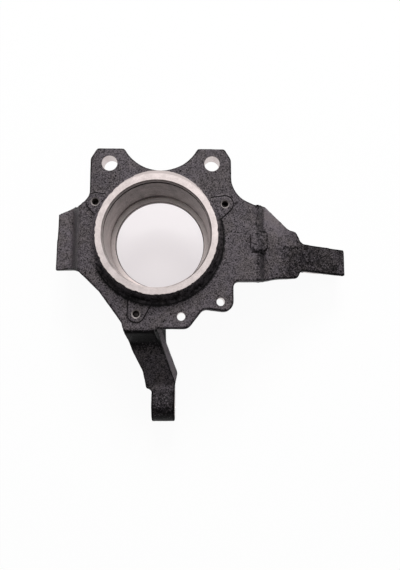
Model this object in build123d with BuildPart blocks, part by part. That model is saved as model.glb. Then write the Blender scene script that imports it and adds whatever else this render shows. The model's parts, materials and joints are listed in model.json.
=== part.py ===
"""Steering knuckle: one iron casting with a machined bearing bore.

The origin is on the bearing axis, in the middle of the bearing's seat, and +Z points out of the
mouth that the bearing is pressed in from, towards the wheel. +Y points at the brake caliper's
two ears. The strut arm reaches out along +X, the ball joint boss along -X and the steering arm
along -Y, and all three also reach back along -Z, so the casting lies steady on them. Sizes are
in millimetres. The casting is drawn with its ring face at height 0, and depths are counted down
from there, and at the end it is lifted to put the origin in the seat.
"""

from build123d import *
import os
from math import hypot

os.makedirs("parts", exist_ok=True)

# Bearing bore, from the mouth inwards: a chamfer, a land, the circlip groove, the bearing's seat
# with a grinding relief in its corner, and the shoulder that the bearing is pressed against.
bearing_diameter = 84.0
bearing_width = 39.0
mouth_land = 3.3
mouth_chamfer = 1.0
circlip_groove_width = 2.65
circlip_groove_depth = 1.6
corner_relief_depth = 0.6
corner_relief_width = 2.2
shoulder_height = 4.1
shoulder_thickness = 4.5
shoulder_chamfer = 0.6

# Housing round the bore. It stands out of the flange towards the wheel, where its end is turned
# flat as the ring face, and tapers a little both ways from the flange for the mould.
ring_width = 6.0
housing_draft = 1.5
housing_root = 3.0
ring_edge_chamfer = 0.3
housing_back_chamfer = 2.5
# The wall is thicker beside the saddle, where the flange is narrowest, and is turned there too,
# a little lower than the ring face.
saddle_lug_radius = 44.3
saddle_lug_offset = (1.0, 6.5)
saddle_lug_drop = 0.8

# Flange plate, with rounded edges in front and broken ones behind.
flange_drop = 9.0
flange_thickness = 13.0
flange_edge_radius = 1.8
flange_back_chamfer = 1.2

# Caliper ears, with a saddle between them.
caliper_hole_diameter = 12.5
caliper_hole_spacing = 82.5
caliper_hole_middle = (2.5, 59.5)
caliper_seat_diameter = 26.0
caliper_seat_depth = 0.5
ear_side = 15.8
ear_head = 13.0
ear_corner = (5.5, 9.0)
ear_tip_radius = 3.0
ear_side_radius = 6.0
saddle_height = 54.3
saddle_radius = 33.0
saddle_corner_radius = 3.0

# Three tapped holes for the splash shield, each on a low pad that runs into the housing.
shield_hole_points = ((54.0, 26.0), (-49.5, 27.5), (-16.0, -62.0))
shield_pad_radii = (6.3, 6.8, 6.3)
shield_tapping_diameter = 5.0
shield_hole_depth = 10.5
shield_hole_chamfer = 1.3
shield_pad_root_radius = 10.0
shield_pad_height = 0.8

# Two plain holes in lobes of the flange, for the clip of the sensor lead.
clip_hole_diameter = 6.5
low_clip_hole = (19.0, -64.0)
low_lobe_reach = (5.5, 9.8)
right_clip_hole = (50.0, -52.5)
right_lobe_reach = (10.5, 8.8)
clip_waist = (36.5, -58.3)
lobe_radius = 8.0
clip_waist_radius = 6.0

# The flange's other edges: where it bends down into each limb, and the waists between them.
boss_bend = -62.3
strut_bend = 81.0
steering_bend = -76.6
ear_waist_height = 34.7
ear_waist_radius = 22.0
boss_shoulder = 33.0
boss_shoulder_radius = 11.0
boss_low_edge = -28.0
lower_waist = (-45.5, -44.5)
steering_left_edge = (-28.0, -68.5)
lower_edge_radius = 15.0
strut_low_edge = -36.0
strut_top_edge = 25.7
strut_root_radius = 5.0
bend_radius = 4.0
# The plate ends this far short of each bend, inside the limb that carries on from it.
bend_overlap = 2.5

# Every limb ends in one plane, so the casting lies flat on its back.
rest_depth = 72.0

# Edges and inner corners of the limbs, left as cast.
cast_edge_radius = 1.5
cast_corner_radius = 4.0

# Ball joint boss: a clamp for the joint's pin, split along its back, with a cross bolt.
boss_end = -86.3
boss_end_slant = 1.6
boss_face_depth = 33.0
boss_face_start = -72.5
boss_heel = -60.0
boss_upper_root = 27.0
boss_upper_neck = (-63.0, 24.0)
boss_upper_side = 23.3
boss_upper_flare = (-71.2, 29.4)
boss_lower_side = -25.0
boss_lower_neck = (-73.5, -23.0)
boss_neck_radius = 6.0
boss_lower_root = -32.0
boss_back_width = 36.0
boss_back_radius = 8.0
ball_pin_diameter = 18.0
ball_pin_height = 21.0
ball_pin_bore_length = 32.0
pinch_bolt_diameter = 10.5
pinch_bolt_place = -73.0
pinch_bolt_height = 9.5
pinch_slot_width = 3.0
pinch_seat_diameter = 20.0
pinch_grip = 37.0

# Strut arm: a sloping fan that narrows to a tab. The strut's fork grips the tab on two machined
# faces, which are set in from its cast rim.
fan_start = (86.5, 20.0)
fan_end = (122.0, 31.5)
fan_thickness = 12.0
fan_shoulder = (87.3, 28.1)
fan_upper_foot = (108.5, 9.8)
fan_upper_crest = (115.5, 8.2)
fan_lower_crest = (116.0, -31.2)
fan_lower_neck = 119.4
fan_lower_foot = (96.5, -32.5)
fan_edge_radius = 8.0
fan_crest_radius = 2.5
fan_neck_radius = 5.0
tab_neck = (120.6, -1.6)
tab_end = (162.5, -3.6)
tab_end_depth = 49.5
tab_width = 23.3
tab_rim = (6.0, 4.5)
tab_middle = -13.3
tab_grip = 18.0
tab_foot = 142.0
tab_arch = (122.0, 14.0)
tab_heel = (88.0, 6.0)
tab_foot_radius = 3.0
tab_arch_radius = 12.0
strut_bolt_diameter = 12.5
strut_bolt_places = ((147.0, 13.5), (98.0, 20.0))

# Steering arm, down to an eye with a tapered hole for the track rod's pin.
steering_face_start = (-83.5, -24.0)
eye_neck = (-119.0, -46.5)
eye_middle = -135.6
eye_radius = 15.5
eye_left = -6.4
eye_width = 19.7
eye_shoulder = -124.5
eye_root_radius = 7.0
eye_corner_radius = 2.0
steering_arm_depth = 21.0
steering_root_left = -22.0
steering_root_right = 5.0
steering_root_radius = 14.0
steering_left_side = ((-20.8, -91.4), (-13.4, -108.0), (-11.2, -122.5))
steering_right_side = ((13.3, -121.0), (15.5, -110.5), (6.2, -84.0))
steering_elbow_radius = 5.0
side_slope_width = 4.5
side_slope_height = 8.0
side_slope_overrun = 25.0
track_rod_large_diameter = 14.5
track_rod_small_diameter = 12.45
track_rod_seat_diameter = 24.0
track_rod_seat_depth = 0.5

# A small cast witness pad on the strut bend.
witness_low = (74.1, -12.6)
witness_size = (14.0, 16.6)
witness_height = 1.6
witness_root_depth = 24.0
witness_corner_radius = 3.5
witness_edge_chamfer = 0.8

# How far the turning tool runs past each end of the bore.
tool_overrun = 1.0

# What follows from the sizes above.
seat_radius = bearing_diameter / 2
shoulder_radius = seat_radius - shoulder_height
ring_radius = seat_radius + ring_width
flange_face = -flange_drop
flange_back = flange_face - flange_thickness
groove_top = -mouth_land
seat_top = groove_top - circlip_groove_width
shoulder_face = seat_top - bearing_width
housing_back = shoulder_face - shoulder_thickness
housing_foot = housing_back + housing_back_chamfer
bearing_middle_depth = mouth_land + circlip_groove_width + bearing_width / 2
inner_reach = seat_radius / 2
caliper_left = caliper_hole_middle[0] - caliper_hole_spacing / 2
caliper_right = caliper_hole_middle[0] + caliper_hole_spacing / 2
ear_top = caliper_hole_middle[1] + ear_head
ear_left = caliper_left - ear_side
ear_right = caliper_right + ear_side
right_lobe_side = right_clip_hole[0] + right_lobe_reach[0]
lobe_bottom = low_clip_hole[1] - low_lobe_reach[1]
# The two ends of the steering arm's inner side, on its sloping face.
face_slope = (eye_neck[1] - steering_face_start[1]) / (eye_neck[0] - steering_face_start[0])
steering_elbow, steering_hip = [
    Vector(x, y, steering_face_start[1] + face_slope * (y - steering_face_start[0]))
    for x, y in steering_right_side[1:]
]

# Bearing housing, turned about the bearing axis.
with BuildPart() as housing:
    with BuildSketch(Plane.XZ):
        with BuildLine():
            Polyline(
                (0, 0),
                (ring_radius, 0),
                (ring_radius + housing_draft, flange_face + housing_root),
                (ring_radius + housing_draft + housing_root, flange_face),
                (ring_radius + housing_draft, flange_back),
                (ring_radius, housing_back),
                (0, housing_back),
                close=True,
            )
        make_face()
    revolve(axis=Axis.Z)
    chamfer(housing.edges().filter_by(GeomType.CIRCLE).group_by(Axis.Z)[-1], ring_edge_chamfer)
    chamfer(housing.edges().filter_by(GeomType.CIRCLE).group_by(Axis.Z)[0], housing_back_chamfer)

# Flange plate with its ears, waists and lobes.
with BuildPart() as flange:
    with BuildSketch(Plane.XY.offset(flange_back)) as flange_plan:
        with BuildLine():
            FilletPolyline(
                (ear_left + ear_corner[0], ear_top),
                (ear_right - ear_corner[0], ear_top),
                (ear_right, ear_top - ear_corner[1]),
                (ear_right, ear_waist_height),
                (strut_bend - bend_overlap, strut_top_edge),
                (strut_bend - bend_overlap, strut_low_edge),
                (right_lobe_side, strut_low_edge),
                (right_lobe_side, right_clip_hole[1] - right_lobe_reach[1]),
                clip_waist,
                (low_clip_hole[0] + low_lobe_reach[0], lobe_bottom),
                (steering_left_edge[0] + bend_overlap, lobe_bottom),
                steering_left_edge,
                lower_waist,
                (boss_bend + bend_overlap, boss_low_edge - bend_overlap),
                (boss_bend + bend_overlap, boss_upper_root),
                (ear_left, boss_shoulder),
                (ear_left, ear_top - ear_corner[1]),
                radius=(
                    ear_tip_radius,
                    ear_tip_radius,
                    ear_side_radius,
                    ear_waist_radius,
                    0,
                    0,
                    strut_root_radius,
                    lobe_radius,
                    clip_waist_radius,
                    lobe_radius,
                    0,
                    lower_edge_radius,
                    lower_edge_radius,
                    0,
                    0,
                    boss_shoulder_radius,
                    ear_side_radius,
                ),
                close=True,
            )
        make_face()
        with Locations((caliper_hole_middle[0], saddle_height + saddle_radius)):
            Circle(saddle_radius, mode=Mode.SUBTRACT)
        saddle_corners = flange_plan.vertices().sort_by_distance((caliper_hole_middle[0], ear_top))[:2]
        fillet(saddle_corners, saddle_corner_radius)
    extrude(amount=flange_thickness)
    fillet(flange.faces().sort_by(Axis.Z)[-1].edges(), flange_edge_radius)
    chamfer(flange.faces().sort_by(Axis.Z)[0].edges(), flange_back_chamfer)

# Ball joint boss: its outline from the side, cut to its section and then to its plan.
with BuildPart() as ball_joint_boss:
    with BuildSketch(Plane.XZ):
        with BuildLine():
            FilletPolyline(
                (-inner_reach, flange_face),
                (boss_bend, flange_face),
                (boss_face_start, -boss_face_depth),
                (boss_end - boss_end_slant, -boss_face_depth),
                (boss_end - boss_end_slant, -rest_depth),
                (boss_heel, -rest_depth),
                (-ring_radius, housing_foot),
                (-inner_reach, housing_foot),
                radius=(
                    0,
                    bend_radius,
                    bend_radius,
                    cast_edge_radius,
                    cast_edge_radius,
                    bend_radius,
                    bend_radius,
                    0,
                ),
                close=True,
            )
        make_face()
    extrude(amount=seat_radius, both=True)
    with BuildSketch(Plane.YZ):
        with BuildLine():
            FilletPolyline(
                (boss_upper_root, flange_face),
                (boss_upper_flare[1], -boss_face_depth),
                (boss_back_width / 2, -rest_depth),
                (-boss_back_width / 2, -rest_depth),
                (boss_lower_side, -boss_face_depth),
                (boss_lower_root, flange_face),
                radius=(
                    0,
                    cast_corner_radius,
                    boss_back_radius,
                    boss_back_radius,
                    cast_corner_radius,
                    0,
                ),
                close=True,
            )
        make_face()
    extrude(amount=2 * boss_end, mode=Mode.INTERSECT)
    with BuildSketch(Plane.XY):
        with BuildLine():
            FilletPolyline(
                (-inner_reach, boss_upper_root),
                (boss_bend + bend_overlap, boss_upper_root),
                boss_upper_neck,
                boss_upper_flare,
                (boss_end + boss_end_slant, boss_upper_side),
                (boss_end, boss_lower_side),
                boss_lower_neck,
                (boss_bend, boss_low_edge),
                (boss_bend + cast_corner_radius, boss_lower_root),
                (-inner_reach, boss_lower_root),
                radius=(
                    0,
                    0,
                    cast_corner_radius,
                    cast_corner_radius,
                    cast_edge_radius,
                    cast_edge_radius,
                    boss_neck_radius,
                    boss_neck_radius,
                    0,
                    0,
                ),
                close=True,
            )
        make_face()
    extrude(amount=-2 * rest_depth, mode=Mode.INTERSECT)

# Strut arm: the fan that slopes away from the flange and runs on as the tab's rim, and the tab.
with BuildPart() as strut_fan:
    with BuildSketch(Plane.XZ):
        with BuildLine():
            FilletPolyline(
                (inner_reach, flange_face),
                (strut_bend, flange_face),
                (fan_start[0], -fan_start[1]),
                (fan_end[0], -fan_end[1]),
                (tab_end[0], -tab_end_depth),
                (tab_end[0], -tab_end_depth - tab_rim[1]),
                (fan_end[0], -fan_end[1] - tab_rim[0]),
                (fan_start[0], -fan_start[1] - fan_thickness),
                (strut_bend - bend_overlap, flange_back),
                (inner_reach, flange_back),
                radius=(
                    0,
                    bend_radius,
                    bend_radius,
                    tab_arch_radius,
                    cast_edge_radius,
                    0,
                    0,
                    bend_radius,
                    0,
                    0,
                ),
                close=True,
            )
        make_face()
    extrude(amount=seat_radius, both=True)
    with BuildSketch(Plane.XY):
        with BuildLine():
            FilletPolyline(
                (inner_reach, strut_top_edge - bend_overlap),
                (strut_bend - bend_overlap, strut_top_edge),
                fan_shoulder,
                fan_upper_foot,
                fan_upper_crest,
                tab_neck,
                tab_end,
                (tab_end[0], tab_end[1] - tab_width),
                (fan_lower_neck, tab_neck[1] - tab_width),
                fan_lower_crest,
                fan_lower_foot,
                (strut_bend, strut_low_edge),
                (inner_reach, strut_low_edge),
                radius=(
                    0,
                    0,
                    fan_neck_radius,
                    fan_edge_radius,
                    fan_crest_radius,
                    fan_neck_radius,
                    cast_edge_radius,
                    cast_edge_radius,
                    fan_crest_radius,
                    fan_crest_radius,
                    2 * fan_edge_radius,
                    fan_edge_radius,
                    0,
                ),
                close=True,
            )
        make_face()
    extrude(amount=-2 * rest_depth, mode=Mode.INTERSECT)

with BuildPart() as strut_tab:
    with BuildSketch(Plane.XZ.offset(-tab_middle - tab_grip / 2)):
        with BuildLine():
            FilletPolyline(
                (inner_reach, flange_back),
                (strut_bend - bend_overlap, flange_back),
                (fan_start[0], -fan_start[1] - fan_thickness / 2),
                (fan_end[0], -fan_end[1] - tab_rim[0] / 2),
                (tab_end[0], -tab_end_depth - tab_rim[1] / 2),
                (tab_end[0], -rest_depth),
                (tab_foot, -rest_depth),
                (tab_arch[0], tab_arch[1] - rest_depth),
                (tab_heel[0], tab_heel[1] - rest_depth),
                (ring_radius + bend_radius, housing_foot),
                (inner_reach, housing_foot),
                radius=(
                    0,
                    0,
                    0,
                    0,
                    0,
                    tab_foot_radius,
                    tab_arch_radius,
                    tab_arch_radius,
                    tab_arch_radius,
                    bend_radius,
                    0,
                ),
                close=True,
            )
        make_face()
    extrude(amount=tab_grip)

# Steering arm: its outline from the side, cut to its plan, with the eye at its end. Its inner
# side is sloped off along the top.
with BuildPart() as steering_arm:
    with BuildSketch(Plane.YZ):
        with BuildLine():
            FilletPolyline(
                (-inner_reach, flange_face),
                (steering_bend, flange_face),
                steering_face_start,
                eye_neck,
                (eye_middle, eye_neck[1]),
                (eye_middle, -rest_depth),
                (eye_neck[0], eye_neck[1] - steering_arm_depth),
                (steering_face_start[0], steering_face_start[1] - steering_arm_depth),
                (-inner_reach, steering_face_start[1] - steering_arm_depth),
                radius=(
                    0,
                    bend_radius,
                    bend_radius,
                    bend_radius,
                    0,
                    0,
                    eye_root_radius,
                    eye_root_radius,
                    0,
                ),
                close=True,
            )
        make_face()
        with Locations((eye_middle, -rest_depth + eye_radius)):
            Circle(eye_radius)
    extrude(amount=seat_radius, both=True)
    with BuildSketch(Plane.XY):
        with BuildLine():
            FilletPolyline(
                (steering_root_left, -ring_radius),
                steering_left_edge,
                *steering_left_side,
                (eye_left, eye_shoulder),
                (eye_left, eye_middle - 2 * eye_radius),
                (eye_left + eye_width, eye_middle - 2 * eye_radius),
                *steering_right_side,
                (steering_root_right, -ring_radius),
                radius=(
                    0,
                    steering_root_radius,
                    2 * steering_root_radius,
                    eye_root_radius,
                    eye_corner_radius,
                    eye_corner_radius,
                    0,
                    0,
                    eye_root_radius,
                    steering_elbow_radius,
                    eye_root_radius,
                    0,
                ),
                close=True,
            )
        make_face()
    extrude(amount=-2 * rest_depth, mode=Mode.INTERSECT)
    run = steering_elbow - steering_hip
    slope_start = steering_hip - run.normalized() * side_slope_overrun
    with BuildSketch(Plane(slope_start, x_dir=Vector(0, 0, 1).cross(run), z_dir=run)):
        with BuildLine():
            Polyline(
                (-side_slope_width, 2 * side_slope_height),
                (-side_slope_width, 0),
                (side_slope_width, -2 * side_slope_height),
                (2 * side_slope_width, -2 * side_slope_height),
                (2 * side_slope_width, 2 * side_slope_height),
                close=True,
            )
        make_face()
    extrude(amount=run.length + 2 * side_slope_overrun, mode=Mode.SUBTRACT)

# Witness pad on the strut bend.
with BuildPart() as witness_pad:
    with BuildSketch(Plane.XY.offset(-witness_root_depth)):
        with Locations((witness_low[0] + witness_size[0] / 2, witness_low[1] + witness_size[1] / 2)):
            RectangleRounded(*witness_size, witness_corner_radius)
    extrude(amount=witness_root_depth - flange_drop + witness_height)
    chamfer(witness_pad.faces().sort_by(Axis.Z)[-1].edges(), witness_edge_chamfer)

# The casting: everything above in one piece, then its pads, then what is machined out of it.
with BuildPart() as casting:
    add(flange.part)
    add(housing.part)
    add(ball_joint_boss.part)
    add(strut_fan.part)
    add(strut_tab.part)
    add(steering_arm.part)
    add(witness_pad.part)

    # Thicker housing wall beside the saddle.
    with BuildSketch(Plane.XY.offset(flange_face)):
        with Locations(saddle_lug_offset):
            Circle(saddle_lug_radius)
    extrude(amount=flange_drop - saddle_lug_drop)

    # Low pads under the splash shield's screws, each running into the housing.
    for (x, y), pad_radius in zip(shield_hole_points, shield_pad_radii):
        root = ring_radius / hypot(x, y)
        with BuildSketch(Plane.XY.offset(flange_face - shield_pad_height)):
            with BuildLine(mode=Mode.PRIVATE) as pad_ends:
                CenterArc((x, y), pad_radius, 0, 360)
                CenterArc((x * root, y * root), shield_pad_root_radius, 0, 360)
            make_hull(pad_ends.edges())
        extrude(amount=2 * shield_pad_height)

    # Bearing bore, turned about the bearing axis.
    with BuildSketch(Plane.XZ):
        with BuildLine():
            Polyline(
                (0, tool_overrun),
                (seat_radius + mouth_chamfer + tool_overrun, tool_overrun),
                (seat_radius + mouth_chamfer, 0),
                (seat_radius, -mouth_chamfer),
                (seat_radius, groove_top),
                (seat_radius + circlip_groove_depth, groove_top),
                (seat_radius + circlip_groove_depth, seat_top),
                (seat_radius, seat_top),
                (seat_radius, shoulder_face + corner_relief_width),
                (seat_radius + corner_relief_depth, shoulder_face + corner_relief_width),
                (seat_radius + corner_relief_depth, shoulder_face),
                (shoulder_radius + shoulder_chamfer, shoulder_face),
                (shoulder_radius, shoulder_face - shoulder_chamfer),
                (shoulder_radius, housing_back + shoulder_chamfer),
                (shoulder_radius + shoulder_chamfer + tool_overrun, housing_back - tool_overrun),
                (0, housing_back - tool_overrun),
                close=True,
            )
        make_face()
    revolve(axis=Axis.Z, mode=Mode.SUBTRACT)

    # Caliper bolt holes, chamfered in front and spot-faced behind.
    caliper_holes = [(x, caliper_hole_middle[1]) for x in (caliper_left, caliper_right)]
    with BuildSketch(Plane.XY.offset(flange_face)):
        with Locations(*caliper_holes):
            Circle(caliper_hole_diameter / 2)
    extrude(amount=-2 * flange_thickness, mode=Mode.SUBTRACT)
    with BuildSketch(Plane.XY.offset(flange_back + caliper_seat_depth)):
        with Locations(*caliper_holes):
            Circle(caliper_seat_diameter / 2)
    extrude(amount=-flange_thickness, mode=Mode.SUBTRACT)

    # Tapped holes for the splash shield, blind, with a wide chamfer.
    shield_face = flange_face + shield_pad_height
    for point in shield_hole_points:
        with Locations((*point, shield_face)):
            CounterSinkHole(
                shield_tapping_diameter / 2,
                shield_tapping_diameter / 2 + shield_hole_chamfer,
                depth=shield_hole_depth,
                counter_sink_angle=90,
            )

    # Plain holes for the clip of the sensor lead.
    with BuildSketch(Plane.XY.offset(flange_face)):
        with Locations(low_clip_hole, right_clip_hole):
            Circle(clip_hole_diameter / 2)
    extrude(amount=-2 * flange_thickness, mode=Mode.SUBTRACT)

    # Ball joint: the pin's bore, the slot that lets it close, and the cross bolt with its seats.
    with BuildSketch(Plane.YZ.offset(boss_end)):
        with Locations((0, ball_pin_height - rest_depth)):
            Circle(ball_pin_diameter / 2)
    extrude(amount=ball_pin_bore_length, mode=Mode.SUBTRACT)
    with BuildSketch(Plane.YZ.offset(boss_end)):
        with Locations((0, -rest_depth)):
            Rectangle(pinch_slot_width, 2 * ball_pin_height)
    extrude(amount=ball_pin_bore_length, mode=Mode.SUBTRACT)
    pinch_bolt_point = (pinch_bolt_place, pinch_bolt_height - rest_depth)
    with BuildSketch(Plane.XZ.offset(-seat_radius)):
        with Locations(pinch_bolt_point):
            Circle(pinch_bolt_diameter / 2)
    extrude(amount=2 * seat_radius, mode=Mode.SUBTRACT)
    for side in (-1, 1):
        with BuildSketch(Plane.XZ.offset(side * pinch_grip / 2)):
            with Locations(pinch_bolt_point):
                Circle(pinch_seat_diameter / 2)
        extrude(amount=side * seat_radius, mode=Mode.SUBTRACT)

    # Strut bolts, through the tab.
    with BuildSketch(Plane.XZ.offset(-seat_radius)):
        with Locations(*[(x, height - rest_depth) for x, height in strut_bolt_places]):
            Circle(strut_bolt_diameter / 2)
    extrude(amount=2 * seat_radius, mode=Mode.SUBTRACT)

    # Track rod: a tapered hole through the eye, and the nut's seat.
    eye_point = (eye_middle, -rest_depth + eye_radius)
    with BuildSketch(Plane.YZ.offset(eye_left)):
        with Locations(eye_point):
            Circle(track_rod_large_diameter / 2)
    with BuildSketch(Plane.YZ.offset(eye_left + eye_width)):
        with Locations(eye_point):
            Circle(track_rod_small_diameter / 2)
    loft(mode=Mode.SUBTRACT)
    with BuildSketch(Plane.YZ.offset(eye_left + eye_width - track_rod_seat_depth)):
        with Locations(eye_point):
            Circle(track_rod_seat_diameter / 2)
    extrude(amount=eye_width, mode=Mode.SUBTRACT)

with BuildPart() as steering_knuckle:
    with Locations((0, 0, bearing_middle_depth)):
        add(casting.part)

steering_knuckle.part.label = "steering_knuckle"
export_step(steering_knuckle.part, "parts/steering_knuckle.step")
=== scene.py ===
import json
from math import acos, atan2, hypot, pi, radians, sin

import bmesh
import bpy
from mathutils import Matrix, Vector, noise


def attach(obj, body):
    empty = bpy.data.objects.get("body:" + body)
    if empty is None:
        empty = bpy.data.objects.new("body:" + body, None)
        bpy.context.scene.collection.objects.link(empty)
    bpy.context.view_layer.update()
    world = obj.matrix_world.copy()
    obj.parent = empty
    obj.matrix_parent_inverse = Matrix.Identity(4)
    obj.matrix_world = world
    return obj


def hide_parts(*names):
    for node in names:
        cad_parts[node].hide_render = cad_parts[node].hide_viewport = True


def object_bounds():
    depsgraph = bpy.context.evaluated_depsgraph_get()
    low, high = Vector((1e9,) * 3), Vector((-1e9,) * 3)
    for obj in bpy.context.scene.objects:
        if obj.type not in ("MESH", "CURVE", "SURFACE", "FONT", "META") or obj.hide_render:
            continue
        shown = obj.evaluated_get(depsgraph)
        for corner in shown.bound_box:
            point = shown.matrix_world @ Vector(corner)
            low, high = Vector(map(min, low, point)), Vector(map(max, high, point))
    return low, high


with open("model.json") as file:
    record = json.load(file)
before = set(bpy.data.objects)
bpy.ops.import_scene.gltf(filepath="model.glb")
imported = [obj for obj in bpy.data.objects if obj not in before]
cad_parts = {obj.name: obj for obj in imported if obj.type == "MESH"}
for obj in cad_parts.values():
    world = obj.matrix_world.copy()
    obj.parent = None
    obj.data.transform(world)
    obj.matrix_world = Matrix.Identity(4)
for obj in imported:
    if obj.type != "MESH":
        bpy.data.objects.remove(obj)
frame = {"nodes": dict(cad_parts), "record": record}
cad_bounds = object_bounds()

# Bearing bore. It is turned in one setting with the ring face round its mouth: a chamfer, a land,
# the circlip groove, the bearing's seat with a relief in its corner, and the shoulder. A thicker
# lug of the wall, on the side of the caliper ears, is faced a little lower.
mm = 0.001
SKIN, TURNED, DRILLED, TAPPED, COUNTERSUNK, SEAM = range(6)
along_z = (0, 0, 1)
mounts = {mount["name"]: mount for mount in frame["record"]["mounts"]}
seat_radius = mounts["bearing_bore"]["dims"]["r_mm"]
shoulder_radius = mounts["shoulder_bore"]["dims"]["r_mm"]
ring_face = cad_bounds[1][2] / mm
ring_radius = 48.0
ring_foot = 19.5
mouth_chamfer = 1.0
groove_top = 22.15
groove_bottom = 19.5
groove_radius = 43.6
relief_top = -17.3
relief_radius = 42.6
shoulder_face = -19.5
shoulder_chamfer = 0.6
housing_back = -24.0
lug_radius = 44.3
lug_middle = (1.0, 6.5)
lug_face = 24.65
machining_stock = 1.2
plug_margin = 1.0
facing_overlap = 0.1
run_out = 5.0
weld_distance = 0.001
stock = bmesh.new()
tool_sets = [bmesh.new() for _ in range(3)]


def added(bm, shape, finish):
    """Moves a finished shape into a larger mesh, with its faces marked by their finish."""
    for face in shape.faces:
        face.material_index = finish
    mesh = bpy.data.meshes.new("shape")
    shape.to_mesh(mesh)
    shape.free()
    bm.from_mesh(mesh)
    bpy.data.meshes.remove(mesh)


def spun(bm, profile, finish, middle=(0, 0, 0), direction=along_z, steps=64, start=0, angle=2 * pi):
    """Turns a closed profile of (radius, distance along the axis) points in mm into a solid.

    A part turn begins at the start angle, and the profile itself closes its two ends."""
    shape = bmesh.new()
    corners = [shape.verts.new((radius * mm, 0, height * mm)) for radius, height in profile]
    sides = [shape.edges.new(pair) for pair in zip(corners, corners[1:] + corners[:1])
             if max(pair[0].co.x, pair[1].co.x) > 0]
    whole = angle == 2 * pi
    section = [] if whole else [shape.faces.new(corners)]
    bmesh.ops.spin(shape, geom=corners + sides + section, cent=(0, 0, 0), axis=along_z, angle=angle,
                   steps=steps, use_merge=whole)
    bmesh.ops.rotate(shape, verts=shape.verts, cent=(0, 0, 0), matrix=Matrix.Rotation(start, 3, "Z"))
    bmesh.ops.remove_doubles(shape, verts=shape.verts, dist=weld_distance * mm)
    bmesh.ops.recalc_face_normals(shape, faces=shape.faces)
    turn = Vector(along_z).rotation_difference(Vector(direction)).to_matrix()
    bmesh.ops.rotate(shape, verts=shape.verts, cent=(0, 0, 0), matrix=turn)
    bmesh.ops.translate(shape, verts=shape.verts, vec=Vector(middle) * mm)
    added(bm, shape, finish)


# The stock fills the solid's holes and covers its machined faces, so that each tool cuts fresh.
spun(stock, [
    (0, housing_back),
    (groove_radius + plug_margin, housing_back),
    (groove_radius + plug_margin, ring_foot),
    (ring_radius, ring_foot),
    (ring_radius, ring_face + machining_stock),
    (0, ring_face + machining_stock),
], SKIN, steps=128)
spun(stock, [
    (0, ring_foot),
    (lug_radius, ring_foot),
    (lug_radius, lug_face + machining_stock),
    (0, lug_face + machining_stock),
], SKIN, (*lug_middle, 0), steps=128)
spun(tool_sets[0], [
    (0, ring_face + run_out),
    (ring_radius + run_out, ring_face + run_out),
    (ring_radius + run_out, lug_face),
    (ring_radius + facing_overlap, lug_face),
    (ring_radius + facing_overlap, ring_face),
    (seat_radius + mouth_chamfer, ring_face),
    (seat_radius, ring_face - mouth_chamfer),
    (seat_radius, groove_top),
    (groove_radius, groove_top),
    (groove_radius, groove_bottom),
    (seat_radius, groove_bottom),
    (seat_radius, relief_top),
    (relief_radius, relief_top),
    (relief_radius, shoulder_face),
    (shoulder_radius + shoulder_chamfer, shoulder_face),
    (shoulder_radius, shoulder_face - shoulder_chamfer),
    (shoulder_radius, housing_back + shoulder_chamfer),
    (shoulder_radius + run_out, housing_back + shoulder_chamfer - run_out),
    (0, housing_back + shoulder_chamfer - run_out),
], TURNED, steps=256)

# Caliper bolt holes. Two plain drilled holes in the ears, broken at the front edge, with a spot
# face behind each for the bracket to pull up against.
flange_face = 16.45
flange_back = 3.45
caliper_x, caliper_y = (value / mm for value in mounts["caliper_bolts"]["pos_m"][:2])
caliper_reach = mounts["caliper_bolts"]["dims"]["spacing_x_mm"] / 2
caliper_hole_radius = mounts["caliper_bolts"]["dims"]["hole_r_mm"]
caliper_seat_radius = 13.0
caliper_seat = 3.95
broken_edge = 0.4
plug_head = 2.0
drill_end = -5.0
for side in (-1, 1):
    middle = (caliper_x + side * caliper_reach, caliper_y, 0)
    spun(stock, [
        (0, flange_back),
        (caliper_seat_radius, flange_back),
        (caliper_seat_radius, flange_back + plug_head),
        (caliper_hole_radius + plug_margin, flange_back + plug_head),
        (caliper_hole_radius + plug_margin, flange_face),
        (0, flange_face),
    ], SKIN, middle)
    spun(tool_sets[0], [
        (0, drill_end),
        (caliper_seat_radius, drill_end),
        (caliper_seat_radius, caliper_seat),
        (caliper_hole_radius, caliper_seat),
        (caliper_hole_radius, flange_face - broken_edge),
        (caliper_hole_radius + broken_edge, flange_face),
        (caliper_hole_radius + broken_edge, flange_face + run_out),
        (0, flange_face + run_out),
    ], DRILLED, middle)

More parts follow.
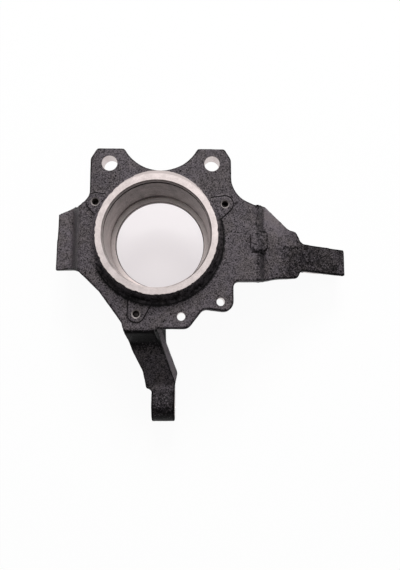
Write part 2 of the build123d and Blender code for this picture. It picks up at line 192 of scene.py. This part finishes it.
# Splash shield holes. Three blind holes, tapped for small screws, each with a wide countersink in
# the top of a low cast pad. The seam round each pad's foot is nearly black, a painted shadow.
pad_face = 17.25
pad_radii = {"shield_hole_right": 6.3, "shield_hole_left": 6.8, "shield_hole_bottom": 6.3}
pad_root_radius = 10.0
tapping_radius = mounts["shield_hole_left"]["dims"]["r_mm"]
thread_depth = 0.42
thread_pitch = 1.0
thread_turns = 8
countersink = 1.3
shield_hole_end = 6.75
drill_point = 1.2
seam_width = 0.9
seam_depth = 0.7
seam_bottom = flange_face - seam_depth
seam_share = 0.95
arc_clearance = 1.0
bar_clearance = 0.1
for name, pad_radius in pad_radii.items():
    x, y = (value / mm for value in mounts[name]["pos_m"][:2])
    middle = (x, y, 0)
    spun(stock, [
        (0, shield_hole_end - 2 * drill_point),
        (tapping_radius + 2 * plug_margin, shield_hole_end - 2 * drill_point),
        (tapping_radius + 2 * plug_margin, pad_face),
        (0, pad_face),
    ], SKIN, middle)
    # The thread is cut as rings, one for each turn.
    thread = []
    for turn in range(thread_turns):
        height = pad_face - countersink - (thread_turns - turn) * thread_pitch
        thread += [(tapping_radius, height),
                   (tapping_radius + thread_depth, height + thread_pitch / 2)]
    spun(tool_sets[0], [
        (0, shield_hole_end - drill_point),
        (tapping_radius, shield_hole_end),
        *thread,
        (tapping_radius, pad_face - countersink / 2),
        (0, pad_face - countersink / 2),
    ], TAPPED, middle, steps=40)
    spun(tool_sets[1], [
        (0, pad_face - countersink),
        (tapping_radius, pad_face - countersink),
        (tapping_radius + countersink, pad_face),
        (tapping_radius + countersink, pad_face + run_out),
        (0, pad_face + run_out),
    ], COUNTERSUNK, middle, steps=40)
    # The seam is an arc round the pad's outer end and two straight sides, back to the housing.
    hole = Vector((x, y))
    outwards = atan2(y, x)
    reach = hole.length - ring_radius
    spread = acos((pad_root_radius - pad_radius) / reach)
    side_length = seam_share * reach * sin(spread)
    spun(tool_sets[2], [
        (pad_radius, seam_bottom),
        (pad_radius + seam_width, seam_bottom),
        (pad_radius + seam_width, pad_face + arc_clearance),
        (pad_radius, pad_face + arc_clearance),
    ], SEAM, middle, steps=24, start=outwards - spread, angle=2 * spread)
    bar_top = pad_face + bar_clearance
    for side in (-1, 1):
        turn = outwards + side * spread
        bar_middle = hole + Matrix.Rotation(turn, 2) @ Vector((pad_radius + seam_width / 2,
                                                               side * side_length / 2))
        bar = bmesh.new()
        bmesh.ops.create_cube(bar, size=mm)
        bmesh.ops.scale(bar, verts=bar.verts, vec=(seam_width, side_length, bar_top - seam_bottom))
        bmesh.ops.rotate(bar, verts=bar.verts, cent=(0, 0, 0), matrix=Matrix.Rotation(turn, 3, "Z"))
        bmesh.ops.translate(bar, verts=bar.verts,
                            vec=Vector((*bar_middle, (bar_top + seam_bottom) / 2)) * mm)
        added(tool_sets[1], bar, SEAM)

# Clip holes. Two small plain holes, drilled through the lobes of the flange, for the clips that
# hold a hose or a cable.
clip_hole_radius = mounts["clip_hole_low"]["dims"]["r_mm"]


def rod(radius, low, high):
    """The profile of a plain round rod."""
    return [(0, low), (radius, low), (radius, high), (0, high)]


for name in ("clip_hole_low", "clip_hole_right"):
    x, y = (value / mm for value in mounts[name]["pos_m"][:2])
    spun(stock, rod(clip_hole_radius + plug_margin, flange_back, flange_face), SKIN, (x, y, 0))
    spun(tool_sets[0], rod(clip_hole_radius, drill_end, flange_face + run_out), DRILLED, (x, y, 0))

# Ball joint clamp. The pin's bore runs in from the boss's end, a saw cut below lets it close, and
# a cross bolt with a seat at each end pulls it tight.
rest_plane = cad_bounds[0][2] / mm
pin_radius = mounts["ball_joint_pin"]["dims"]["r_mm"]
pin_height = mounts["ball_joint_pin"]["pos_m"][2] / mm
pin_axis = ((0, 0, pin_height), (-1, 0, 0))
pin_bore_end = 54.3
boss_end = 85.5
pin_lead_in = 0.8
saw_cut = 3.0
saw_plug_gap = 0.2
along_y = (0, 1, 0)
pinch_x, _, pinch_height = (value / mm for value in mounts["pinch_bolt"]["pos_m"])
pinch_middle = (pinch_x, 0, pinch_height)
pinch_radius = mounts["pinch_bolt"]["dims"]["r_mm"]
pinch_seat = mounts["pinch_bolt"]["dims"]["length_mm"] / 2
pinch_seat_radius = 10.0
pinch_seat_gap = 0.1
pinch_plug_margin = 0.6
pinch_tool_reach = 40


def block(bm, low, high, finish, slope=0, level_at=0):
    """Adds a block between two corners in mm, which may slope along x from where it is level."""
    shape = bmesh.new()
    bmesh.ops.create_cube(shape, size=mm)
    bmesh.ops.scale(shape, verts=shape.verts, vec=Vector(high) - Vector(low))
    bmesh.ops.translate(shape, verts=shape.verts, vec=(Vector(high) + Vector(low)) * mm / 2)
    for vert in shape.verts:
        vert.co.z += slope * (vert.co.x - level_at * mm)
    added(bm, shape, finish)


spun(stock, rod(pin_radius + plug_margin, pin_bore_end - plug_margin, boss_end), SKIN, *pin_axis)
spun(tool_sets[0], [
    (0, pin_bore_end),
    (pin_radius, pin_bore_end),
    (pin_radius, boss_end - pin_lead_in),
    (pin_radius + pin_lead_in, boss_end),
    (pin_radius + run_out, boss_end + run_out - pin_lead_in),
    (0, boss_end + run_out - pin_lead_in),
], DRILLED, *pin_axis)
spun(stock, rod(pinch_radius + pinch_plug_margin, -pinch_seat, pinch_seat), SKIN,
     pinch_middle, along_y)
for side in (-1, 1):
    spun(stock, rod(pinch_seat_radius - pinch_seat_gap, pinch_seat - plug_margin,
                    pinch_seat + pinch_plug_margin), SKIN, pinch_middle, (0, side, 0))
spun(tool_sets[1], [
    (0, -pinch_tool_reach),
    (pinch_seat_radius, -pinch_tool_reach),
    (pinch_seat_radius, -pinch_seat),
    (pinch_radius, -pinch_seat),
    (pinch_radius, pinch_seat),
    (pinch_seat_radius, pinch_seat),
    (pinch_seat_radius, pinch_tool_reach),
    (0, pinch_tool_reach),
], DRILLED, pinch_middle, along_y)
block(stock, (-boss_end, -saw_cut / 2, rest_plane),
      (-pin_bore_end - saw_plug_gap, saw_cut / 2, pin_height), SKIN)
block(tool_sets[2], (-boss_end - run_out, -saw_cut / 2, rest_plane - run_out),
      (-pin_bore_end, saw_cut / 2, pin_height), DRILLED)

# Strut tab. The strut's fork grips it on two milled faces, set in under the cast rim, and two
# bolts go through.
tab_middle = mounts["strut_bolts"]["pos_m"][1] / mm
tab_grip = 9.0
strut_bolt_radius = mounts["strut_bolts"]["dims"]["hole_r_mm"]
strut_bolts = ((147.0, rest_plane + 13.5), (98.0, rest_plane + 20.0))
strut_edge = 0.5
strut_drill_reach = 20
milled_depth = 0.5
milled_start = 128.0
milled_end = 170.0
mill_reach = 14
mill_low = -70
rim_height = -23.0
rim_slope = -0.407
for bolt_x, bolt_height in strut_bolts:
    middle = (bolt_x, tab_middle, bolt_height)
    spun(stock, rod(strut_bolt_radius + plug_margin, -tab_grip, tab_grip), SKIN, middle, along_y)
    spun(tool_sets[0], [
        (0, -strut_drill_reach),
        (strut_bolt_radius + strut_edge, -strut_drill_reach),
        (strut_bolt_radius + strut_edge, -tab_grip),
        (strut_bolt_radius, strut_edge - tab_grip),
        (strut_bolt_radius, tab_grip - strut_edge),
        (strut_bolt_radius + strut_edge, tab_grip),
        (strut_bolt_radius + strut_edge, strut_drill_reach),
        (0, strut_drill_reach),
    ], DRILLED, middle, along_y)
for side in (-1, 1):
    low, high = sorted((tab_middle + side * (tab_grip - milled_depth),
                        tab_middle + side * mill_reach))
    block(tool_sets[1], (milled_start, low, mill_low), (milled_end, high, rim_height),
          DRILLED, rim_slope, strut_bolts[0][0])

# Track rod eye. A tapered hole is reamed across it for the track rod's pin, with a seat for the
# nut on the inner side.
eye_y, eye_height = (value / mm for value in mounts["track_rod_eye"]["pos_m"][1:])
eye_axis = ((0, eye_y, eye_height), (1, 0, 0))
eye_left = -6.4
eye_right = 13.3
taper_large = 7.25
taper_small = 6.25
taper_overlap = 0.05
nut_seat = 12.8
nut_seat_radius = 12.0
spun(stock, [
    (0, eye_left),
    (taper_large + plug_margin, eye_left),
    (taper_large + plug_margin, eye_right - plug_head),
    (nut_seat_radius, eye_right - plug_head),
    (nut_seat_radius, eye_right),
    (0, eye_right),
], SKIN, *eye_axis)
spun(tool_sets[0], [
    (0, eye_left - plug_margin),
    (taper_large + taper_overlap, eye_left - plug_margin),
    (taper_small, nut_seat),
    (nut_seat_radius, nut_seat),
    (nut_seat_radius, nut_seat + run_out),
    (0, nut_seat + run_out),
], DRILLED, *eye_axis)

# Foundry marks. Grains of loose sand have left small pits in the flange, a few beads of iron sit by
# the housing's foot, and two low lines on the strut arm show where the mould's pieces met.
pit_radius = 0.7
pit_depth = 0.7
pit_places = ((70.7, -4.3), (55.8, 5.4), (62.7, 11.6), (61.9, 3.6), (68.8, 7.6), (56.5, -2.2),
              (53.8, 13.9), (62.0, -19.8), (-60.5, 3.6), (-61.0, -8.4), (-54.5, -18.5),
              (-5.5, -66.4), (6.2, -66.6), (19.0, -59.5))
bead_places = ((30.0, -44.2), (53.4, -21.2), (-27.0, -50.7))
bead_radius = 1.3
bead_height = 0.8
bead_root = 1.0
line_width = 1.5
line_height = 0.9
line_root = 2.0
line_slope = -0.345
line_level_x, line_level = (106.9, -1.4)
line_start = 107.0
line_turn_x, line_turn_y = (126.0, -6.0)
line_top = -5.0
line_end = -17.5
# The pits are nearly black, a painted shadow, like the seams.
for place in pit_places:
    spun(tool_sets[0], [
        (0, flange_face - pit_depth),
        (pit_radius / 2, flange_face - pit_depth),
        (pit_radius, flange_face),
        (0, flange_face + run_out),
    ], SEAM, (*place, 0), steps=10)
for place in bead_places:
    spun(stock, [
        (0, flange_face - bead_root),
        (bead_radius, flange_face - bead_root),
        (bead_radius, flange_face),
        (bead_radius / 2, flange_face + bead_height),
        (0, flange_face + bead_height),
    ], SKIN, (*place, 0), steps=12)
for low, high in (((line_start, line_turn_y), (line_turn_x, line_turn_y + line_width)),
                  ((line_turn_x, line_end), (line_turn_x + line_width, line_top))):
    block(stock, (*low, line_level - line_root), (*high, line_level + line_height), SKIN,
          line_slope, line_level_x)

# Witness pad. A low square pad, cast on the bend of the strut arm, with a seam along two sides of
# its foot that is nearly black, a painted shadow.
witness_low_seam = ((75.5, -13.5), (81.0, -12.6))
witness_left_seam = ((73.5, -10.0), (74.1, 1.5))
for low, high in (witness_low_seam, witness_left_seam):
    block(tool_sets[1], (*low, seam_bottom), (*high, flange_face + run_out), SEAM)

# Casting. One piece of iron, poured in a sand mould, so its skin is grainy and a little wavy and
# its edges are soft. It comes from the foundry with the stock on it, and the tools take that off,
# which leaves the ring face with a ragged outer edge.
skin_voxel = 0.96
ripple_depth = 0.22
ripple_length = 9.0
grain_depth = 0.14
grain_length = 2.1
rim_depth = 0.8
rim_length = 2.6
rim_bias = 0.1
rim_reach = 2.0
rim_low = 17.5
crease_angle = 50
machined_crease_angle = 25
cad_casting = frame["nodes"]["steering_knuckle"]


def made_object(name, bm):
    """Turns a bmesh into an object of the scene."""
    mesh = bpy.data.meshes.new(name)
    bm.to_mesh(mesh)
    bm.free()
    piece = bpy.data.objects.new(name, mesh)
    bpy.context.scene.collection.objects.link(piece)
    return piece


def applied(piece):
    """Replaces a piece's mesh by what its modifiers make of it."""
    result = bpy.data.meshes.new_from_object(
        piece.evaluated_get(bpy.context.evaluated_depsgraph_get()))
    piece.modifiers.clear()
    piece.data = result


def lumps(place, length):
    """Smooth lumps from 0 to 1, of about a length in mm."""
    return 0.5 + 0.5 * noise.noise(place / length)


cast_copy = bmesh.new()
cast_copy.from_mesh(cad_casting.data)
bmesh.ops.remove_doubles(cast_copy, verts=cast_copy.verts, dist=weld_distance * mm)
stock_mesh = bpy.data.meshes.new("stock")
stock.to_mesh(stock_mesh)
stock.free()
cast_copy.from_mesh(stock_mesh)
casting = made_object("casting", cast_copy)
skin = casting.modifiers.new("sand mould", "REMESH")
skin.mode = "VOXEL"
skin.voxel_size = skin_voxel * mm
applied(casting)

# How sharply the skin folds is kept at each vertex: above 0 on an edge, below 0 in a corner.
surface = bmesh.new()
surface.from_mesh(casting.data)
folds = []
for vert in surface.verts:
    total = sum((edge.other_vert(vert).normal - vert.normal).dot(edge.other_vert(vert).co - vert.co)
                / edge.calc_length() ** 2 for edge in vert.link_edges)
    folds.append(total / len(vert.link_edges) * mm)
surface.free()
casting.data.attributes.new("fold", "FLOAT", "POINT").data.foreach_set("value", folds)

normals = [vert.normal.copy() for vert in casting.data.vertices]
for vert, normal in zip(casting.data.vertices, normals):
    place = vert.co / mm
    depth = ripple_depth * lumps(place, ripple_length) + grain_depth * lumps(place, grain_length)
    if abs(hypot(place.x, place.y) - ring_radius) < rim_reach and place.z > rim_low:
        rough = noise.noise(Vector((place.x, place.y, 0)) / rim_length) + rim_bias
        depth += rim_depth * max(0, rough)
    vert.co -= normal * depth * mm

finishes = [bpy.data.materials.new(name) for name in (
    "black coat", "turned iron", "drilled iron", "tapped iron", "countersunk iron", "pooled coat")]
black, turned, drilled, tapped, countersunk, shadow_coat = finishes
cutters = [made_object("tool", tools) for tools in tool_sets]
for piece in (casting, *cutters):
    for material in finishes:
        piece.data.materials.append(material)
for cutter in cutters:
    cut = casting.modifiers.new("tool", "BOOLEAN")
    cut.operation = "DIFFERENCE"
    cut.solver = "MANIFOLD"
    cut.object = cutter
applied(casting)
for cutter in cutters:
    bpy.data.objects.remove(cutter)

casting.data.shade_smooth()
surface = bmesh.new()
surface.from_mesh(casting.data)
for edge in surface.edges:
    on_skin = all(face.material_index == SKIN for face in edge.link_faces)
    limit = crease_angle if on_skin else machined_crease_angle
    edge.smooth = edge.calc_face_angle(0) < radians(limit)
surface.to_mesh(casting.data)
surface.free()

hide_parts("steering_knuckle")
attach(casting, "root")

# Black coat. The skin has a thin black coat that shows every grain of the sand. It is mottled and
# dotted with small dark pits, and a little purple in one place and brown in another. Painted shade
# darkens it in the bends and corners and along the edges, and painted light brightens a few faces.
patch_size = 26
mottle_size = 3.4
grain_size = 1.15
tint_size = 11
pit_spacing = 5.5
patch_contrast = 0.35
mottle_contrast = 1.1
grain_contrast = 3.4
foot_smoothness = 2.8
coat_roughness = 0.5
coat_relief = 0.5
coat_gloss = 0.08
purple_dark = (0.004, 0.0034, 0.004, 1)
purple_light = (0.180, 0.157, 0.174, 1)
brown_dark = (0.004, 0.0034, 0.0036, 1)
brown_light = (0.181, 0.157, 0.164, 1)
shadow_coat_colour = (0.014, 0.012, 0.013, 1)
shadow_coat_roughness = 0.6


class Wire:
    """A socket of a node tree. Arithmetic on it adds the Math nodes."""

    def __init__(self, tree, socket=None):
        self.tree = tree
        self.socket = socket

    def node(self, kind, settings, sockets, output=0):
        """Adds any other node, and gives one of its outputs."""
        made = self.tree.nodes.new(kind)
        for name, value in settings.items():
            setattr(made, name, value)
        for name, value in sockets.items():
            if isinstance(value, Wire):
                self.tree.links.new(value.socket, made.inputs[name])
            else:
                made.inputs[name].default_value = value
        return Wire(self.tree, made.outputs[output])

    def maths(self, operation, *values):
        """Adds a Math node."""
        return self.node("ShaderNodeMath", {"operation": operation}, dict(enumerate(values)))

    def __add__(self, other):
        return self.maths("ADD", self, other)

    def __sub__(self, other):
        return self.maths("SUBTRACT", self, other)

    def __rsub__(self, other):
        return self.maths("SUBTRACT", other, self)

    def __mul__(self, other):
        return self.maths("MULTIPLY", self, other)

    __radd__ = __add__
    __rmul__ = __mul__

    def between(self, low, high):
        """Rises from 0 at low to 1 at high, or falls where high is the lower."""
        return self.node("ShaderNodeMapRange", {"interpolation_type": "SMOOTHSTEP"},
                         {"Value": self, "From Min": low, "From Max": high})

    def band(self, start, full, fade, end):
        """Rises from 0 at start to 1 at full, and falls again from fade to end."""
        return self.between(start, full) * self.between(end, fade)

    def along(self, axis):
        """One coordinate of this vector."""
        return self.node("ShaderNodeSeparateXYZ", {}, {0: self}, output=axis)

    def distance(self, point):
        """How far this vector's place is from a point."""
        return self.node("ShaderNodeVectorMath", {"operation": "DISTANCE"}, {0: self, 1: point},
                         output="Value")

    def levelled(self):
        """This vector with its height made 0."""
        return self.node("ShaderNodeVectorMath", {"operation": "MULTIPLY"}, {0: self, 1: (1, 1, 0)})

    def noise(self, size, detail=2, roughness=0.5):
        """Noise on this vector, in lumps of about a size in mm."""
        return self.node("ShaderNodeTexNoise", {}, {"Vector": self, "Scale": 1 / size,
                                                    "Detail": detail, "Roughness": roughness})

    def blend(self, colour_low, colour_high):
        """A colour that this value takes from the first to the second."""
        return self.node("ShaderNodeMix", {"data_type": "RGBA"},
                         {0: self, 6: colour_low, 7: colour_high}, output=2)


def place_in_mm(material):
    """Where a point lies on the object that has this material, as a vector in mm."""
    place = Wire(material.node_tree).node("ShaderNodeTexCoord", {}, {}, output="Object")
    return place.node("ShaderNodeVectorMath", {"operation": "SCALE"}, {0: place, "Scale": 1 / mm})


def dress(material, colour, roughness, height, depth, **constants):
    """Gives a material its colour, roughness and relief, and any plain values."""
    tree = material.node_tree
    shader = tree.nodes["Principled BSDF"]
    tree.links.new(colour.socket, shader.inputs["Base Color"])
    tree.links.new(roughness.socket, shader.inputs["Roughness"])
    relief = height.node("ShaderNodeBump", {}, {"Height": height, "Distance": depth * mm})
    tree.links.new(relief.socket, shader.inputs["Normal"])
    for name, value in constants.items():
        shader.inputs[name.replace("_", " ")].default_value = value


for material in finishes:
    material.use_nodes = True

place = place_in_mm(black)
x, y, z = (place.along(axis) for axis in "XYZ")
patches = place.noise(patch_size)
mottle = place.noise(mottle_size, 4, 0.65)
grain = place.noise(grain_size, 3, 0.8)
tint = place.noise(tint_size, 3)
pit_cells = {"Vector": place, "Scale": 1 / pit_spacing}
pit_distance = place.node("ShaderNodeTexVoronoi", {}, pit_cells)
pit_choice = place.node("ShaderNodeTexVoronoi", {}, pit_cells, output="Color")
# Somewhat under half of the cells have a pit.
pits = pit_distance.between(0.17, 0.09) * pit_choice.between(0.5, 0.56)
fold = place.node("ShaderNodeAttribute", {"attribute_name": "fold"}, {}, output="Fac")
# Painted shade along the edges and in the corners, where the skin folds.
edges = fold.between(0.07, 0.3)
corners = fold.between(-0.12, -0.32)

# Painted shadow on the housing's wall, on the side away from the ears, and along its foot.
from_housing = place.levelled().distance((0, -2.5, 0))
far_wall = (y - x * 0.4).between(2, -12) * z.band(12, 16, 17.5, 20.5)
housing_foot_shadow = from_housing.between(53.8, 52.6) * far_wall
foot_shadow_line = from_housing.band(52.0, 52.9, 53.8, 54.7) * far_wall

# Painted light on the face of the ball joint's boss, and painted shade on the bend beside it.
paddle_light = x.between(-69, -71)
paddle_bend_shade = x.band(-70.5, -68.5, -65, -63)

# The strut arm: painted shade on its bend, painted light on the fan above it, and an end that gets
# darker unevenly.
strut_bend_shade = x.band(77.5, 80, 85, 88)
strut_top_light = (y + x * 0.667).between(60, 80) * x.band(86, 88.5, 95, 125)
strut_end = (x + (patches - 0.5) * 50 - y * 0.2).between(92, 122)

# The steering arm: painted shade on its bend and in three steps towards its eye, and painted light
# on its side slope.
arm_bend_shade = y.band(-96, -80, -76.5, -72.5)
arm = y.between(-85, -95) * 0.2 + y.between(-122, -126) * 0.45 + y.between(-135.5, -139) * 0.35
arm_side_light = ((x + y * 0.32).band(-24.3, -23.5, -21.1, -20.3) * y.between(-70, -72)
            * z.band(-24, -21.5, 8, 12))

shade = (0.5 + (patches - 0.5) * patch_contrast + (mottle - 0.5) * mottle_contrast
         + (grain - 0.5) * (grain_contrast - housing_foot_shadow * foot_smoothness))
# How much lighter than the rest each region is, or darker where the number is below 0.
# All but the pits are painted light and painted shade.
for region, lighter in (
    (pits, -0.6),
    (edges, -0.4),
    (corners, -0.6),
    (housing_foot_shadow, -0.38),
    (foot_shadow_line, -0.4),
    (paddle_light, 0.12),
    (paddle_bend_shade, -0.12),
    (strut_bend_shade, -0.25),
    (strut_top_light, 0.5),
    (strut_end, -0.38),
    (arm_bend_shade, -0.85),
    (arm, -0.6),
    (arm_side_light, 1.2),
):
    shade = shade + region * lighter
purple = shade.blend(purple_dark, purple_light)
brown = shade.blend(brown_dark, brown_light)
dress(black, tint.between(0.4, 0.65).blend(purple, brown),
      coat_roughness + (grain - 0.5) * 0.5 + edges * 0.2 + corners * 0.3,
      mottle * 0.4 + grain * 0.6 - pits * 0.5, coat_relief, Specular_IOR_Level=coat_gloss)

# The seams and pits are nearly black: a painted shadow.
shadow_coat_inputs = shadow_coat.node_tree.nodes["Principled BSDF"].inputs
shadow_coat_inputs["Base Color"].default_value = shadow_coat_colour
shadow_coat_inputs["Roughness"].default_value = shadow_coat_roughness
shadow_coat_inputs["Specular IOR Level"].default_value = coat_gloss

# Machined iron. Each place that a tool has cut is bare and faintly pink, with the fine rings of
# the tool's feed. Drilled faces are bright, the countersinks are dull, and the threads are dark, a
# painted shade deep in the small holes.
drilling_feed = 0.3
turning_feed = 0.45
cloud_size = 7
speck_size = 1.3
feed_contrast = 0.6
cloud_contrast = 1.2
speck_contrast = 0.9
dull_contrast = 0.15
feed_relief = 0.03


def tool_marks(material, feed_size):
    """The rings of the tool's feed, and how bright and how dull the iron is."""
    place = place_in_mm(material)
    radius = place.levelled().distance((0, 0, 0))
    rings = place.node("ShaderNodeCombineXYZ", {}, {0: radius, 1: place.along("Z")})
    feed = rings.noise(feed_size, 2, 0.6)
    cloud = place.noise(cloud_size, 3)
    speck = place.noise(speck_size)
    sheen = (0.5 + (feed - 0.5) * feed_contrast + (cloud - 0.5) * cloud_contrast
             + (speck - 0.5) * speck_contrast)
    return feed, sheen, (cloud - 0.5) * dull_contrast


for material, metallic, dullness, dark_iron, bright_iron in (
    (drilled, 1, 0.36, (0.60, 0.53, 0.52, 1), (0.72, 0.645, 0.63, 1)),
    (tapped, 1, 0.5, (0.09, 0.08, 0.078, 1), (0.16, 0.14, 0.138, 1)),
    (countersunk, 0.3, 0.5, (0.28, 0.25, 0.245, 1), (0.40, 0.36, 0.35, 1)),
):
    feed, sheen, duller = tool_marks(material, drilling_feed)
    dress(material, sheen.blend(dark_iron, bright_iron), dullness + duller, feed, feed_relief,
          Metallic=metallic)

# Turned iron. The ring face is bright, with painted shade that makes it a little darker towards the
# ears. The bearing's seat is darker, with painted shade towards the ears, a painted shadow low on
# one side of its wall, and painted shade most of all in its lowest corner and in the grooves. The
# shoulder is the brightest, with painted light deep in the bore.
ring_dark = (0.50, 0.44, 0.43, 1)
ring_bright = (0.76, 0.68, 0.665, 1)
lug_iron = (0.42, 0.37, 0.36, 1)
shoulder_dark = (0.78, 0.70, 0.68, 1)
shoulder_bright = (1, 0.90, 0.88, 1)
shoulder_wall = (0.16, 0.14, 0.135, 1)
seat_dark = (0.09, 0.079, 0.076, 1)
seat_bright = (0.64, 0.57, 0.55, 1)
groove_shade = (0.05, 0.044, 0.042, 1)
turned_roughness = 0.5
seat_roughness = 0.15
ring_lift = 0.12
ring_shade = 0.42
corner_shadow_depth = 0.45
seat_top = 24.4
seat_bottom = -19.0
softness = 0.1


def above(height, level):
    """0 below a level in mm and 1 above it."""
    return height.between(level - softness, level + softness)


place = place_in_mm(turned)
x, y, z = (place.along(axis) for axis in "XYZ")
radius = place.levelled().distance((0, 0, 0))
feed, sheen, duller = tool_marks(turned, turning_feed)

# Painted shade makes the ring face darker towards the ears.
ring = (sheen + ring_lift - y.between(0, 50) * ring_shade).blend(ring_dark, ring_bright)
ring = above(radius, ring_radius + softness).blend(ring, lug_iron)

# The seat: painted shade towards the ears and in the undercut and grooves, and a painted shadow low
# on one side of its wall, over the iron's own tone.
seat_corner_shadow = z.between(-11.5, -15.5) * (y - x * 0.8).between(30, 45)
seat_tone_and_shade = sheen * 0.5 + y.between(45, 0) * 0.5 - seat_corner_shadow * corner_shadow_depth
in_groove = above(z, groove_bottom) - above(z, groove_top)
undercut = 1 - above(z, relief_top) + in_groove
seat = undercut.blend(seat_tone_and_shade.blend(seat_dark, seat_bright), groove_shade)
in_seat = above(z, seat_bottom) - above(z, seat_top)

# The shoulder's colour is pushed almost to white: painted light deep in the bore.
shoulder = sheen.blend(shoulder_dark, shoulder_bright)
shoulder = above(z, shoulder_face - softness).blend(shoulder_wall, shoulder)

iron = above(z, seat_bottom).blend(shoulder, seat)
iron = above(z, seat_top).blend(iron, ring)
dress(turned, iron, turned_roughness + duller + in_seat * seat_roughness, feed, feed_relief,
      Metallic=1)

# Studio. A pale floor that the casting lies on, under a wide soft panel, with a strong lamp beyond
# the ears and a faint panel at the strut arm's side. The floor is darker and pink in the bore, a
# painted shadow under the housing.
floor_reach = 3
floor_colour = (0.95, 0.95, 0.95, 1)
floor_roughness = 0.9
floor_whiteness = 0.95
bore_shadow = 0.3
shadow_start = 55
shadow_full = 42
white_light = (1, 1, 1, 1)
bore_light = (1, 0.935, 0.955, 1)
world_level = 0.06
floor_shape = bmesh.new()
bmesh.ops.create_grid(floor_shape, x_segments=1, y_segments=1, size=floor_reach)
bmesh.ops.translate(floor_shape, verts=floor_shape.verts, vec=(0, 0, rest_plane * mm))
floor = made_object("floor", floor_shape)
white = bpy.data.materials.new("floor")
white.use_nodes = True
floor.data.materials.append(white)


def light_path(tree, name):
    """1 where the ray is of the kind that is named, and 0 elsewhere."""
    return Wire(tree).node("ShaderNodeLightPath", {}, {}, output=name)


tree = white.node_tree
pale = tree.nodes["Principled BSDF"]
pale.inputs["Base Color"].default_value = floor_colour
pale.inputs["Roughness"].default_value = floor_roughness
# The camera and the casting's gloss see a white floor, and the light itself falls on a pale one.
seen = (light_path(tree, "Is Camera Ray") + light_path(tree, "Is Glossy Ray")
        + light_path(tree, "Is Transmission Ray")).between(0, 1)
in_bore = place_in_mm(white).distance((0, 0, rest_plane)).between(shadow_start, shadow_full)
glow = in_bore.node("ShaderNodeEmission", {}, {"Color": in_bore.blend(white_light, bore_light)})
shown = seen.node("ShaderNodeMixShader", {}, {0: seen * (floor_whiteness - in_bore * bore_shadow),
                                              1: Wire(tree, pale.outputs[0]), 2: glow})
tree.links.new(shown.socket, tree.nodes["Material Output"].inputs["Surface"])

for name, place, size, radiance in (
    ("wide panel", (0.2, 0.85, 1.9), 3.0, 1.05),
    ("key lamp", (0.1, 1.9, 1.3), 0.8, 22),
    ("side panel", (1.7, 0.5, 1.2), 1.0, 0.8),
):
    lamp = bpy.data.lights.new(name, "AREA")
    lamp.size = size
    lamp.energy = radiance * pi * size ** 2
    holder = bpy.data.objects.new(name, lamp)
    holder.location = place
    holder.rotation_euler = (-Vector(place)).to_track_quat("-Z", "Y").to_euler()
    holder.visible_camera = False
    bpy.context.scene.collection.objects.link(holder)

world = bpy.data.worlds.new("studio")
world.use_nodes = True
tree = world.node_tree
background = tree.nodes["Background"]
background.inputs["Color"].default_value = white_light
background.inputs["Strength"].default_value = world_level
bright = Wire(tree).node("ShaderNodeBackground", {}, {"Color": white_light, "Strength": 1})
sky = bright.node("ShaderNodeMixShader", {}, {0: light_path(tree, "Is Camera Ray"),
                                              1: Wire(tree, background.outputs[0]), 2: bright})
tree.links.new(sky.socket, tree.nodes["World Output"].inputs["Surface"])
bpy.context.scene.world = world
bpy.context.scene.view_settings.view_transform = "Standard"

# Camera. It looks down on the casting from nearly straight above, a little on the side of the
# steering arm.
camera_place = (0.024283, -0.081378, 0.384981)
camera_tilt = 0.1137
camera_pan = -0.0256
camera_roll = 0.0004
camera_lens = 29.876
camera_sensor = 36
nearest_seen = 0.01
camera_data = bpy.data.cameras.new("camera")
camera_data.lens = camera_lens
camera_data.sensor_width = camera_sensor
camera_data.clip_start = nearest_seen
camera = bpy.data.objects.new("camera", camera_data)
camera.location = camera_place
camera.rotation_euler = (Matrix.Rotation(camera_tilt, 3, "X") @ Matrix.Rotation(camera_pan, 3, "Y")
                         @ Matrix.Rotation(camera_roll, 3, "Z")).to_euler()
bpy.context.scene.collection.objects.link(camera)
bpy.context.scene.camera = camera
